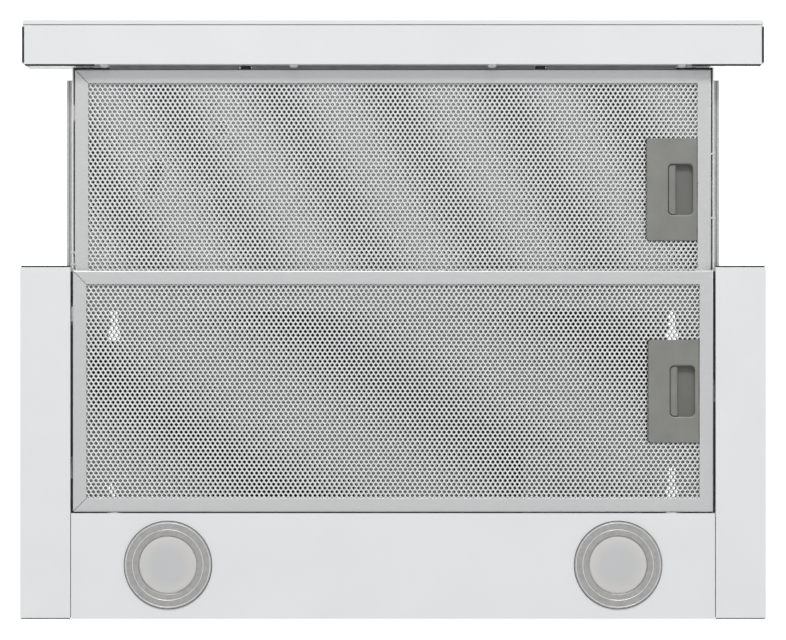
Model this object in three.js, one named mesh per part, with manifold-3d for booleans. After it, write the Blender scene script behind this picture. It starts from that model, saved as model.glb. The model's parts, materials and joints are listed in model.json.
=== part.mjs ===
// Telescopic under-cabinet range hood with its filter drawer pulled out. Millimetres, +Z up, front at -Y.
// Heights are written from the underside of the body. The hood is lowered by HEIGHT at the end, so that the
// origin is the centre of the top plate's upper face, the face that is screwed up against the cabinet.
import * as THREE from "three";
import { mergeVertices } from "three/addons/utils/BufferGeometryUtils.js";
import Module from "manifold-3d";

const wasm = await Module();
wasm.setup();

// Driving dimensions
const WIDTH = 600; // across the two wings
const DEPTH = 283; // of the body, front to back
const HEIGHT = 150; // underside to top plate
const SHEET = 1; // sheet steel
const GAP = 0.4; // between pieces that touch
const HALF_DEPTH = DEPTH / 2;
const THROUGH_TOP = [HEIGHT - 2, HEIGHT + 1]; // for holes in the top plate
const SIDES = [
  ["left", -1],
  ["right", 1],
];

// Body shell, wings and what they hold
const SHELL = { x: 273.3, z: 14.5, flange: 7, mouth: 50 };
const WING = { inner: 259.6, outer: WIDTH / 2, height: 14, lip: 10, top: 275 };
const KEYHOLE = { x: 240, y: [-86, 48], round: 5.5, slot: 2.8, reach: 21 };
const PANEL = { x: 259, front: 56.5, lip: 12, hole: 31 };
const LAMP = { x: 181, y: 98, bezel: 35, neck: 30.5, lens: 23.2, board: 27, housing: 33, top: 24 };
const RAIL = { low: 10.4, inner: 244, outer: 271.9, lip: 22, ends: [2, 1.5] };

// Grease filters, both the same size. Heights inside a filter are from its own underside.
const FILTER = { x: 257.7, y: 97.1, height: 9, bar: 11, skin: 0.8, mesh: [1.2, 2.8] };
const TABS = { at: [-62, 62], half: 6, reach: 1.5, z: [3, 5] };
const REAR_FILTER = { y: -41.7, z: 0.6, bolt: 259.2 };
const FRONT_FILTER = { y: -204.7, z: 14, bolt: 260 };
const LATCH = { left: 205.5, half: 41.5, recess: [222.7, 243], mouth: 20.6, tab: 6, travel: 6, rod: 5.5 };

// Drawer
const DRAWER = { x: 259.8, front: -303.8, rear: -105.5, low: 14.4, side: 43.6, top: 45 };
const LEDGE = { inner: 246, low: 23.8 };
const BAR = { x: 299, front: -336.6, rear: -305.2, low: 4, high: 49, cap: 1.4, lip: 6 };
const FASCIA = { thick: 3.7, front: -340.9, round: 2.5 };
const KEYS = { first: 151, pitch: 22, z: 26, cap: [7, 3.5], stem: 2 };
const KEY_NAMES = ["key_light", "key_off", "key_low", "key_medium", "key_high"];
const SLIDE = { low: 24, high: 44, outer: [263.3, 272], inner: [260.4, 265.8], inset: 4.6 };
const BALLS = { x: 265.6, radius: 1.6, inset: 2.8, first: 8, pitch: 16, count: 5 };

// Blower and outlet
const BLOWER = { x: -128, y: -14, low: 52, high: 139, wall: 1.8, first: 86, last: 120, eye: 60 };
const WHEEL = { inner: 64, outer: 80, blades: 30, low: 62, high: 122, cup: 55, disc: 84 };
const MOTOR = { radius: 48, low: 91, boss: 14, bossLow: 88, bore: 4.4, boreTop: 131 };
const SHAFT = { radius: 4, z: [70, 128], hub: 4.3, nut: 8, nutLow: 75.5 };
const OUTLET = { x: 0, y: 72, r: 60, height: 28, flange: 67.5, pin: 8, wall: 1.5 };
const PLENUM = { left: -60, right: 62, front: 12, rear: 132 };

// ---- shapes ----

// A box between two values on each axis.
function block([x0, x1], [y0, y1], [z0, z1]) {
  const box = new THREE.BoxGeometry(x1 - x0, y1 - y0, z1 - z0);
  return box.translate((x0 + x1) / 2, (y0 + y1) / 2, (z0 + z1) / 2);
}

// The same box on the left or the right: x is given as distances from the middle plane.
function sideBlock(side, [x0, x1], y, z) {
  return block(side < 0 ? [-x1, -x0] : [x0, x1], y, z);
}

function extruded(points, depth) {
  const shape = new THREE.Shape(points.map(([a, b]) => new THREE.Vector2(a, b)));
  return new THREE.ExtrudeGeometry(shape, { depth, bevelEnabled: false, curveSegments: 6 });
}

// An outline of [x, y] points, raised from one height to another.
function raised(points, [z0, z1]) {
  return extruded(points, z1 - z0).translate(0, 0, z0);
}

// A section of [x, z] points, run along Y.
function alongY(points, [y0, y1]) {
  return extruded(points, y1 - y0)
    .rotateX(Math.PI / 2)
    .translate(0, y1, 0);
}

// A section of [y, z] points, run along X.
function alongX(points, [x0, x1]) {
  const turn = new THREE.Matrix4().makeBasis(
    new THREE.Vector3(0, 1, 0),
    new THREE.Vector3(0, 0, 1),
    new THREE.Vector3(1, 0, 0),
  );
  return extruded(points, x1 - x0)
    .applyMatrix4(turn)
    .translate(x0, 0, 0);
}

// A closed profile of [radius, z] points, counter-clockwise, turned about the Z axis.
function turned(profile, sides = 32) {
  const points = profile.map(([r, z]) => new THREE.Vector2(r, z));
  const onAxis = profile[0][0] === 0;
  const closed = onAxis ? points : [...points, points[0].clone()];
  return new THREE.LatheGeometry(closed, sides).rotateX(Math.PI / 2);
}

// A ring of rectangular section.
function ring(inner, outer, [z0, z1], sides = 32) {
  return turned(
    [
      [inner, z0],
      [outer, z0],
      [outer, z1],
      [inner, z1],
    ],
    sides,
  );
}

function disc(radius, [z0, z1], sides = 32) {
  const cylinder = new THREE.CylinderGeometry(radius, radius, z1 - z0, sides);
  return cylinder.rotateX(Math.PI / 2).translate(0, 0, (z0 + z1) / 2);
}

// ---- joining and cutting ----

function solidOf(geometry) {
  const bare = geometry.clone();
  bare.deleteAttribute("normal");
  bare.deleteAttribute("uv");
  const merged = mergeVertices(bare, 1e-4);
  return new wasm.Manifold(
    new wasm.Mesh({
      numProp: 3,
      vertProperties: merged.attributes.position.array,
      triVerts: new Uint32Array(merged.index.array),
    }),
  );
}

function geometryOf(solid) {
  const mesh = solid.getMesh();
  const geometry = new THREE.BufferGeometry();
  geometry.setAttribute("position", new THREE.BufferAttribute(mesh.vertProperties, 3));
  geometry.setIndex(new THREE.BufferAttribute(mesh.triVerts, 1));
  geometry.computeVertexNormals();
  return geometry;
}

function join(...geometries) {
  return geometryOf(geometries.map(solidOf).reduce((all, one) => all.add(one)));
}

function cut(geometry, ...tools) {
  return geometryOf(tools.map(solidOf).reduce((left, tool) => left.subtract(tool), solidOf(geometry)));
}

// ---- materials ----

function material(color, roughness, metalness) {
  return new THREE.MeshStandardMaterial({ color, roughness, metalness, flatShading: true });
}

const FINISH = {
  enamel: material(0xe6e8ea, 0.35, 0.1),
  zinc: material(0xa4a7a8, 0.45, 0.8),
  aluminium: material(0xcbcdcd, 0.4, 0.8),
  brushed: material(0xa2a09e, 0.35, 0.9),
  frosted: material(0xc1c3c0, 0.6, 0),
  grey: material(0x8c8d88, 0.55, 0),
  white: material(0xe8e8e6, 0.5, 0),
  black: material(0x2a2b2c, 0.6, 0),
  board: material(0x2f6b45, 0.6, 0),
  rubber: material(0x26272a, 0.85, 0),
};

// A named sub-part.
function piece(name, geometry, finish, position = [0, 0, 0]) {
  const mesh = new THREE.Mesh(geometry, FINISH[finish]);
  mesh.name = name;
  mesh.position.set(...position);
  return mesh;
}

function group(position, ...children) {
  const made = new THREE.Group();
  made.position.set(...position);
  made.add(...children);
  return made;
}

// ---- body ----

// A hole for a hanging screw: the head goes in at the round end and the shank slides along the slot.
function keyhole(x, y) {
  return [
    disc(KEYHOLE.round, THROUGH_TOP, 16).translate(x, y, 0),
    block([x - KEYHOLE.slot, x + KEYHOLE.slot], [y - KEYHOLE.reach, y], THROUGH_TOP),
  ];
}

// A box of sheet steel, open below, with a mouth at the front for the drawer. Each side wall goes down into
// its wing and ends in a flange under the wing's upper sheet.
function bodyShell() {
  const inner = SHELL.x - SHEET;
  const box = cut(
    block([-SHELL.x, SHELL.x], [-HALF_DEPTH, HALF_DEPTH], [SHELL.z, HEIGHT]),
    block([-inner, inner], [-HALF_DEPTH + SHEET, HALF_DEPTH - SHEET], [0, HEIGHT - SHEET]),
    block([-inner, inner], [-HALF_DEPTH - 1, 0], [0, SHELL.mouth]),
    disc(OUTLET.r + 1, THROUGH_TOP, 48).translate(OUTLET.x, OUTLET.y, 0),
    disc(GLAND.hole, THROUGH_TOP, 16).translate(GLAND.x, GLAND.y, 0),
    ...[-1, 1].flatMap((side) => KEYHOLE.y.flatMap((y) => keyhole(side * KEYHOLE.x, y))),
  );
  const short = 1.5;
  const y = [-HALF_DEPTH + short, HALF_DEPTH - short];
  const low = WING.height - 2 * SHEET - GAP;
  const feet = SIDES.flatMap(([, side]) => [
    sideBlock(side, [inner, SHELL.x], y, [low, SHELL.z + 1]),
    sideBlock(side, [inner, SHELL.x + SHELL.flange], y, [low, low + SHEET]),
  ]);
  return join(box, ...feet);
}

// The trim that covers the lower edge of the cabinet's side: a folded channel with closed ends.
function wing(side) {
  const section = [
    [WING.inner, 0],
    [WING.outer, 0],
    [WING.outer, WING.height],
    [WING.top, WING.height],
    [WING.top, WING.height - SHEET],
    [WING.outer - SHEET, WING.height - SHEET],
    [WING.outer - SHEET, SHEET],
    [WING.inner + SHEET, SHEET],
    [WING.inner + SHEET, WING.lip],
    [WING.inner, WING.lip],
  ].map(([x, z]) => [side * x, z]);
  const ends = [-HALF_DEPTH, HALF_DEPTH - SHEET].map((y) =>
    sideBlock(side, [WING.inner, WING.outer], [y, y + SHEET], [0, WING.height]),
  );
  return join(alongY(section, [-HALF_DEPTH, HALF_DEPTH]), ...ends);
}

// The filter's tabs hook into two slots of the left wing, and its bolt meets one slot of the right wing.
function slottedWing(side) {
  const wall = [WING.inner - 1, WING.inner + SHEET + 0.5];
  const offsets = side < 0 ? TABS.at : [0];
  const half = TABS.half + 2;
  const slots = offsets.map((offset) => {
    const y = REAR_FILTER.y + offset;
    return sideBlock(side, wall, [y - half, y + half], side < 0 ? [2, 8.5] : [6, 9]);
  });
  return cut(wing(side), ...slots);
}

// The panel behind the filter that carries the lamps: a tray with its edges folded up.
function lightPanel() {
  const width = [-PANEL.x, PANEL.x];
  const y = [PANEL.front, HALF_DEPTH];
  const lip = [0, PANEL.lip];
  const tray = join(
    block(width, y, [0, SHEET]),
    block(width, [PANEL.front, PANEL.front + SHEET], lip),
    block(width, [HALF_DEPTH - SHEET, HALF_DEPTH], [0, WING.height]),
    ...SIDES.map(([, side]) => sideBlock(side, [PANEL.x - SHEET, PANEL.x], y, lip)),
  );
  const holes = SIDES.map(([, side]) => disc(PANEL.hole, [-1, 2], 48).translate(side * LAMP.x, LAMP.y, 0));
  return cut(tray, ...holes);
}

// The angle along each side of the body that the rear filter closes against.
function filterRail(side) {
  const section = [
    [RAIL.inner, RAIL.low],
    [RAIL.outer, RAIL.low],
    [RAIL.outer, RAIL.lip],
    [RAIL.outer - SHEET, RAIL.lip],
    [RAIL.outer - SHEET, RAIL.low + SHEET],
    [RAIL.inner, RAIL.low + SHEET],
  ].map(([x, z]) => [side * x, z]);
  return alongY(section, [-HALF_DEPTH + RAIL.ends[0], PANEL.front - RAIL.ends[1]]);
}

function body() {
  return group(
    [0, 0, 0],
    piece("body_shell", bodyShell(), "enamel"),
    piece("left_wing", slottedWing(-1), "enamel"),
    piece("right_wing", slottedWing(1), "enamel"),
    piece("light_panel", lightPanel(), "enamel"),
    piece("filter_tab_rail", filterRail(-1), "zinc"),
    piece("filter_catch_rail", filterRail(1), "zinc"),
  );
}

// ---- lamps ----

// The bezel's flange lies under the panel and its neck goes up through the hole. A shelf holds the lens.
function lampBezel() {
  const shelf = 1;
  return turned(
    [
      [LAMP.lens + GAP, -1.5],
      [LAMP.bezel, -1.5],
      [LAMP.bezel, -GAP],
      [LAMP.neck, -GAP],
      [LAMP.neck, 10],
      [LAMP.neck - 2, 10],
      [LAMP.neck - 2, shelf + 1],
      [LAMP.lens - 2, shelf + 1],
      [LAMP.lens - 2, shelf],
      [LAMP.lens + GAP, shelf],
    ],
    36,
  );
}

function lampHousing() {
  const shell = 1.5;
  return turned([
    [LAMP.housing - shell, SHEET + GAP],
    [LAMP.housing, SHEET + GAP],
    [LAMP.housing, LAMP.top],
    [0, LAMP.top],
    [0, LAMP.top - shell],
    [LAMP.housing - shell, LAMP.top - shell],
  ]);
}

// A round board with a circle of light-emitting diodes under it.
function lampBoard() {
  const count = 6;
  const board = disc(LAMP.board, [4, 5.6]);
  const chips = Array.from({ length: count }, (_, i) =>
    block([10, 14], [-2, 2], [3.2, 4.4]).rotateZ((2 * Math.PI * i) / count),
  );
  return join(board, ...chips);
}

function lamp(name, side) {
  return group(
    [side * LAMP.x, LAMP.y, 0],
    piece(`lamp_bezel_${name}`, lampBezel(), "brushed"),
    piece(`lamp_lens_${name}`, disc(LAMP.lens, [-0.9, 0.6], 48), "frosted"),
    piece(`lamp_board_${name}`, lampBoard(), "white"),
    piece(`lamp_housing_${name}`, lampHousing(), "zinc"),
  );
}

// ---- filters ----

// A channel of aluminium sheet round the edge, open towards the middle, with two tabs on the left.
function filterFrame() {
  const { x, y, height, bar, skin } = FILTER;
  const hollow = cut(
    block([-x, x], [-y, y], [0, height]),
    block([-x + bar, x - bar], [-y + bar, y - bar], [-1, height + 1]),
    block([-x + skin, x - skin], [-y + skin, y - skin], [skin, height - skin]),
    block([x - 2, x + 1], [-LATCH.rod - GAP, LATCH.rod + GAP], [6.2, 8]),
  );
  const tabs = TABS.at.map((at) =>
    block([-x - TABS.reach, -x + 0.5], [at - TABS.half, at + TABS.half], TABS.z),
  );
  return join(hollow, ...tabs);
}

// The layers of expanded aluminium, as one thin panel with a corner left free for the latch.
function filterMesh() {
  const inset = FILTER.skin + GAP;
  return cut(
    block([-FILTER.x + inset, FILTER.x - inset], [-FILTER.y + inset, FILTER.y - inset], FILTER.mesh),
    block([LATCH.left - GAP, FILTER.x], [-LATCH.half - GAP, LATCH.half + GAP], [0, 4]),
  );
}

// The latch's body: a face plate, a finger recess, a pocket that the tab slides into and the bolt's channel.
function latchPlate() {
  const [near, far] = LATCH.recess;
  const inner = FILTER.x - FILTER.bar - GAP;
  const channel = LATCH.rod + GAP;
  const pocket = near - LATCH.travel - GAP;
  const tongue = [FILTER.skin + GAP, FILTER.height - FILTER.skin - GAP];
  const whole = join(
    block([LATCH.left, inner], [-LATCH.half, LATCH.half], [0.2, 8]),
    block([inner - 1, FILTER.x - FILTER.skin - GAP], [-30, 30], tongue),
  );
  return cut(
    whole,
    block([near, far], [-LATCH.mouth, LATCH.mouth], [-1, 3]),
    block([pocket, far], [-LATCH.mouth, LATCH.mouth], [1.2, 5.4]),
    block([pocket, near + LATCH.tab + 1], [-channel, channel], [5, 7]),
    block([pocket, FILTER.x], [-channel, channel], [6.2, 9]),
  );
}

// The sliding part: a finger tab in the recess and a bolt that runs above the recess to the filter's edge.
function latchSlider(tip) {
  const near = LATCH.recess[0] + GAP;
  const tab = [near, near + LATCH.tab];
  return join(
    block(tab, [-LATCH.mouth + GAP, LATCH.mouth - GAP], [1.6, 5]),
    block(tab, [-LATCH.rod, LATCH.rod], [4, 7.6]),
    block([near, tip], [-LATCH.rod, LATCH.rod], [6.5, 7.6]),
  );
}

function filter(name, place) {
  return group(
    [0, place.y, place.z],
    piece(`${name}_filter_frame`, filterFrame(), "aluminium"),
    piece(`${name}_filter_mesh`, filterMesh(), "aluminium"),
    piece(`${name}_latch_plate`, latchPlate(), "grey"),
    piece(`${name}_latch_slider`, latchSlider(place.bolt), "grey"),
  );
}

// ---- drawer slides ----

// A channel whose web stands upright, with its two flanges pointing to one side.
function channel(side, [x0, x1], [z0, z1], webAt, y) {
  const web = webAt === "outside" ? [x1 - SHEET, x1] : [x0, x0 + SHEET];
  return join(
    sideBlock(side, web, y, [z0, z1]),
    sideBlock(side, [x0, x1], y, [z0, z0 + SHEET]),
    sideBlock(side, [x0, x1], y, [z1 - SHEET, z1]),
  );
}

// The cage sits between the two channels and holds two rows of balls.
function ballCage(side) {
  const y = [-135, -55];
  const strip = [BALLS.x - 1.8, BALLS.x + 2.4];
  const heights = [SLIDE.low + BALLS.inset, SLIDE.high - BALLS.inset];
  const strips = heights.map((z) => sideBlock(side, strip, y, [z - 0.5, z + 0.5]));
  const web = sideBlock(side, [strip[1] - 0.9, strip[1]], y, [heights[0] - 0.5, heights[1] + 0.5]);
  const balls = heights.flatMap((z) =>
    Array.from({ length: BALLS.count }, (_, i) => {
      const at = y[0] + BALLS.first + BALLS.pitch * i;
      return new THREE.SphereGeometry(BALLS.radius, 6, 5).translate(side * BALLS.x, at, z);
    }),
  );
  return join(web, ...strips, ...balls);
}

// ---- drawer ----

// A folded side: an upright wall, a ledge above the filter and a flange under the top plate.
function drawerSide(side) {
  const outer = DRAWER.x;
  const y = [DRAWER.front, DRAWER.rear];
  const wall = join(
    sideBlock(side, [outer - SHEET, outer], y, [DRAWER.low, DRAWER.side]),
    sideBlock(side, [LEDGE.inner, outer], y, [LEDGE.low, LEDGE.low + SHEET]),
    sideBlock(side, [outer - 11, outer], y, [DRAWER.side - SHEET, DRAWER.side]),
  );
  const offsets = side < 0 ? TABS.at : [0];
  const half = TABS.half + 1;
  const slots = offsets.map((offset) => {
    const at = FRONT_FILTER.y + offset;
    const z = side < 0 ? [16.5, 20] : [20, 22.2];
    return sideBlock(side, [outer - 2, outer + 1], [at - half, at + half], z);
  });
  return cut(wall, ...slots);
}

// The beam behind the front bar: an angle under the top plate.
function drawerFrontBeam() {
  const half = LEDGE.inner - GAP;
  const rear = DRAWER.front + SHEET;
  return join(
    block([-half, half], [DRAWER.front, rear], [LEDGE.low + SHEET + GAP, DRAWER.side]),
    block([-half, half], [DRAWER.front, rear + 14], [DRAWER.side - SHEET, DRAWER.side]),
  );
}

function drawerRearBeam() {
  const half = LEDGE.inner - GAP;
  return join(
    block([-half, half], [DRAWER.rear - SHEET, DRAWER.rear], [36, DRAWER.side]),
    block([-half, half], [DRAWER.rear - 15, DRAWER.rear], [DRAWER.side - SHEET, DRAWER.side]),
  );
}

// The bar that the hand pulls: a channel of sheet steel, open at the front, where the fascia closes it.
function frontBar() {
  const { front, rear, low, high, lip } = BAR;
  const section = [
    [rear, low],
    [rear, high],
    [front, high],
    [front, high - lip],
    [front + SHEET, high - lip],
    [front + SHEET, high - SHEET],
    [rear - SHEET, high - SHEET],
    [rear - SHEET, low + SHEET],
    [front + SHEET, low + SHEET],
    [front + SHEET, low + lip],
    [front, low + lip],
    [front, low],
  ];
  const half = BAR.x - BAR.cap - GAP;
  return alongX(section, [-half, half]);
}

function barEndCap(side) {
  const plate = sideBlock(side, [BAR.x - BAR.cap, BAR.x], [BAR.front, BAR.rear], [BAR.low, BAR.high]);
  const inset = SHEET + GAP;
  const y = [BAR.front + inset, BAR.rear - inset];
  const z = [BAR.low + inset, BAR.high - inset];
  const wall = 1.2;
  const tongue = cut(
    sideBlock(side, [BAR.x - 10, BAR.x - 1], y, z),
    sideBlock(side, [BAR.x - 11, BAR.x - BAR.cap], [y[0] + wall, y[1] - wall], [z[0] + wall, z[1] - wall]),
  );
  return join(plate, tongue);
}

// The fascia: a plate with its two front corners rounded, and a window for the keys.
function fascia() {
  const { front, thick, round } = FASCIA;
  const steps = [0, 1, 2, 3, 4];
  const corner = (side) =>
    steps.map((i) => {
      const angle = (i * Math.PI) / 2 / (steps.length - 1);
      const x = side * (BAR.x - round + round * Math.cos(angle));
      return [x, front + round - round * Math.sin(angle)];
    });
  const rear = front + thick;
  const outline = [[BAR.x, rear], ...corner(1), ...corner(-1).reverse(), [-BAR.x, rear]];
  const plate = raised(outline, [BAR.low, BAR.high]);
  const { x, z } = keyWindow(0);
  return cut(plate, block(x, [front - 1, rear + 1], z));
}

// The part of the fascia that the keys take up, less a margin all round.
function keyWindow(margin) {
  const last = KEYS.first + KEYS.pitch * (KEY_NAMES.length - 1);
  return {
    x: [KEYS.first - 12 + margin, last + 12 - margin],
    z: [KEYS.z - 8 + margin, KEYS.z + 8 - margin],
  };
}

function keyFrame() {
  const { x, z } = keyWindow(GAP);
  const [w, h] = KEYS.cap;
  const plate = block(x, [FASCIA.front, FASCIA.front + 2.7], z);
  const wide = w + GAP;
  const tall = h + GAP;
  const windows = KEY_NAMES.map((_, i) => {
    const at = KEYS.first + KEYS.pitch * i;
    const depth = [FASCIA.front - 1, FASCIA.front + 4];
    return block([at - wide, at + wide], depth, [KEYS.z - tall, KEYS.z + tall]);
  });
  return cut(plate, ...windows);
}

// A key: its cap, the collar that keeps it behind the frame, and the stem that works the switch.
function key() {
  const [w, h] = KEYS.cap;
  const { stem } = KEYS;
  const collar = [w + 1.6, h + 1.7];
  return join(
    block([-w, w], [0.5, 5], [-h, h]),
    block([-collar[0], collar[0]], [3.2, 4.6], [-collar[1], collar[1]]),
    block([-stem, stem], [4, 10.6], [-stem, stem]),
  );
}

// The board behind the keys, with a switch for each of them and a post at each end.
function switchBoard() {
  const { x } = keyWindow(1);
  const front = FASCIA.front + 14.5;
  const board = block(x, [front, front + 1.6], [KEYS.z - 10, KEYS.z + 10]);
  const switches = KEY_NAMES.map((_, i) => {
    const at = KEYS.first + KEYS.pitch * i;
    return block([at - 3, at + 3], [front - 1.4, front + 0.5], [KEYS.z - 3, KEYS.z + 3]);
  });
  const posts = x.map((at, i) => {
    const inward = i === 0 ? [at, at + 5] : [at - 5, at];
    return block(inward, [front + 1, BAR.rear - SHEET - GAP], [KEYS.z - 3, KEYS.z + 3]);
  });
  return join(board, ...switches, ...posts);
}

function frontBarGroup() {
  return group(
    [0, 0, 0],
    piece("front_bar", frontBar(), "enamel"),
    piece("front_fascia", fascia(), "enamel"),
    piece("key_frame", keyFrame(), "grey"),
    piece("switch_board", switchBoard(), "board"),
    ...SIDES.map(([name, side]) => piece(`bar_end_cap_${name}`, barEndCap(side), "enamel")),
    ...SIDES.map(([name, side]) =>
      piece(
        `bumper_${name}`,
        sideBlock(side, [115.5, 123.5], [BAR.rear + GAP, FRONT_FILTER.y - FILTER.y - GAP], [15, 24]),
        "rubber",
      ),
    ),
    ...KEY_NAMES.map((name, i) =>
      piece(name, key(), "grey", [KEYS.first + KEYS.pitch * i, FASCIA.front, KEYS.z]),
    ),
  );
}

function drawerTopPlate() {
  return block([-DRAWER.x, DRAWER.x], [DRAWER.front, DRAWER.rear], [DRAWER.top - SHEET, DRAWER.top]);
}

function innerSlide(side) {
  const z = [SLIDE.low + SLIDE.inset, SLIDE.high - SLIDE.inset];
  return channel(side, SLIDE.inner, z, "inside", [-294.4, -44.4]);
}

function drawer() {
  return group(
    [0, 0, 0],
    ...SIDES.map(([name, side]) => piece(`drawer_side_${name}`, drawerSide(side), "enamel")),
    piece("drawer_front_beam", drawerFrontBeam(), "zinc"),
    piece("drawer_rear_beam", drawerRearBeam(), "zinc"),
    piece("drawer_top_plate", drawerTopPlate(), "enamel"),
    frontBarGroup(),
    filter("front", FRONT_FILTER),
    ...SIDES.map(([name, side]) => piece(`slide_inner_${name}`, innerSlide(side), "zinc")),
  );
}

function slides() {
  return group(
    [0, 0, 0],
    ...SIDES.flatMap(([name, side]) => [
      piece(
        `slide_outer_${name}`,
        channel(side, SLIDE.outer, [SLIDE.low, SLIDE.high], "outside", [-139, 120]),
        "zinc",
      ),
      piece(`ball_cage_${name}`, ballCage(side), "brushed"),
    ]),
  );
}

// ---- blower ----

// The scroll's wall seen from above: its radius grows clockwise from the tongue round to the rear throat.
function scrollOutline(offset) {
  const steps = 36;
  const tongue = Math.PI / 3;
  const sweep = (11 * Math.PI) / 6;
  return Array.from({ length: steps + 1 }, (_, i) => {
    const angle = tongue - (sweep * i) / steps;
    const radius = BLOWER.first + ((BLOWER.last - BLOWER.first) * i) / steps + offset;
    return [BLOWER.x + radius * Math.cos(angle), BLOWER.y + radius * Math.sin(angle)];
  });
}

// The space under the outlet, and the way into it from the scroll's throat.
function plenumOutline(offset) {
  const { left, right, front, rear } = PLENUM;
  const throat = BLOWER.y + BLOWER.last;
  return [
    [right + offset, front - offset],
    [right + offset, rear + offset],
    [left, rear + offset],
    [BLOWER.x, throat + offset],
    [BLOWER.x, BLOWER.y],
    [left + 20, front - offset],
  ];
}

// The scroll's housing: floor, outer wall and the tongue between the scroll and the outlet.
function scrollHousing() {
  const { low, high, wall, eye } = BLOWER;
  const inside = [low + 2, high + 1];
  const tongue = scrollOutline(0)[0];
  const outer = join(raised(scrollOutline(wall), [low, high]), raised(plenumOutline(wall), [low, high]));
  const plenum = cut(raised(plenumOutline(0), inside), raised(scrollOutline(wall), [0, high + 2]));
  const throat = raised(
    [
      tongue,
      [tongue[0] + 8, tongue[1] + 16],
      [BLOWER.x + 8, BLOWER.y + BLOWER.last + 1],
      [BLOWER.x - 2, BLOWER.y + BLOWER.last - 1],
    ],
    inside,
  );
  const hollow = cut(
    outer,
    raised(scrollOutline(0), inside),
    plenum,
    throat,
    disc(eye, [low - 1, low + 3], 48).translate(BLOWER.x, BLOWER.y, 0),
  );
  const lip = ring(eye, eye + wall, [low, low + 9], 48).translate(BLOWER.x, BLOWER.y, 0);
  return join(hollow, lip);
}

// The lid of the scroll, with the neck that leads up into the outlet and four posts up to the top plate.
function scrollCover() {
  const z = [BLOWER.high + GAP, BLOWER.high + GAP + 2];
  const neck = OUTLET.r - 2.2;
  const plate = join(raised(scrollOutline(BLOWER.wall), z), raised(plenumOutline(BLOWER.wall), z));
  const open = cut(plate, disc(neck - 1.5, [z[0] - 1, z[1] + 1], 48).translate(OUTLET.x, OUTLET.y, 0));
  const tube = ring(neck - 1.5, neck, [z[0], HEIGHT + 3], 48).translate(OUTLET.x, OUTLET.y, 0);
  const circle = 82;
  const posts = [0, 1, 2, 3].map((i) => {
    const angle = Math.PI * (0.65 + 0.35 * i);
    const x = BLOWER.x + circle * Math.cos(angle);
    const y = BLOWER.y + circle * Math.sin(angle);
    return disc(5, [z[0], HEIGHT - SHEET - GAP], 12).translate(x, y, 0);
  });
  return join(open, tube, ...posts);
}

// The wheel: a cup that reaches round the motor, a rim above, a ring below and curved-back blades between.
function impeller() {
  const { inner, outer, low, high, cup, disc: floor, blades } = WHEEL;
  const hub = turned([
    [SHAFT.hub, floor],
    [cup, floor],
    [cup, high - 2],
    [outer, high - 2],
    [outer, high],
    [cup - 2, high],
    [cup - 2, floor + 2],
    [SHAFT.hub, floor + 2],
  ]);
  const rim = ring(inner + 6, outer + 2, [low, low + 2]);
  const vanes = Array.from({ length: blades }, (_, i) =>
    block([0, 19], [-0.6, 0.6], [low + 1, high - 1])
      .rotateZ(0.6)
      .translate(inner - 0.5, -5, 0)
      .rotateZ((2 * Math.PI * i) / blades),
  );
  return join(hub, rim, ...vanes);
}

// The motor hangs from the lid inside the wheel's cup. Its lower end has a boss, bored for the shaft.
function motor() {
  const top = BLOWER.high - 0.1;
  return turned([
    [0, MOTOR.boreTop],
    [MOTOR.bore, MOTOR.boreTop],
    [MOTOR.bore, MOTOR.bossLow],
    [MOTOR.boss, MOTOR.bossLow],
    [MOTOR.boss, MOTOR.low],
    [MOTOR.radius, MOTOR.low],
    [MOTOR.radius, top],
    [0, top],
  ]);
}

function nut() {
  const height = [SHAFT.nutLow, WHEEL.disc - GAP];
  return cut(disc(SHAFT.nut, height, 6), disc(SHAFT.hub, [height[0] - 1, height[1] + 1], 16));
}

function blower() {
  return group(
    [0, 0, 0],
    piece("scroll_housing", scrollHousing(), "black"),
    piece("scroll_cover", scrollCover(), "black"),
    group(
      [BLOWER.x, BLOWER.y, 0],
      piece("motor", motor(), "zinc"),
      piece("impeller", impeller(), "black"),
      piece("motor_shaft", disc(SHAFT.radius, SHAFT.z, 16), "brushed"),
      piece("impeller_nut", nut(), "brushed"),
    ),
  );
}

// ---- electrics ----

const GLAND = { x: 230, y: 90, hole: 8.4 };

// A box hung under the top plate, open for the cables on its left.
function electronicsBox() {
  const wall = 2;
  const [x, y, z] = [
    [110, 210],
    [10, 80],
    [105, HEIGHT - SHEET - GAP],
  ];
  return cut(
    block(x, y, z),
    block([x[0] + wall, x[1] - wall], [y[0] + wall, y[1] - wall], [z[0] + wall, z[1] - wall]),
    block([x[0] - 1, x[0] + wall + 1], [35, 55], [120, 130]),
  );
}

// The gland in the top plate that the mains lead would come out of: a flange below the plate, a neck through
// it and a bore.
function cableGland() {
  const under = HEIGHT - SHEET - GAP;
  const neck = GLAND.hole - GAP;
  return turned(
    [
      [4, HEIGHT - 12],
      [8, HEIGHT - 12],
      [8, under - 3],
      [12, under - 3],
      [12, under],
      [neck, under],
      [neck, HEIGHT + 4],
      [6.5, HEIGHT + 12],
      [4, HEIGHT + 12],
    ],
    16,
  );
}

function electrics() {
  const capacitor = disc(17, [0, 60], 24).rotateX(Math.PI / 2);
  return group(
    [0, 0, 0],
    piece("electronics_box", electronicsBox(), "white"),
    piece("capacitor", capacitor, "aluminium", [150, -15, HEIGHT - 25]),
    piece("cable_gland", cableGland(), "black", [GLAND.x, GLAND.y, 0]),
  );
}

// ---- outlet ----

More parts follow.
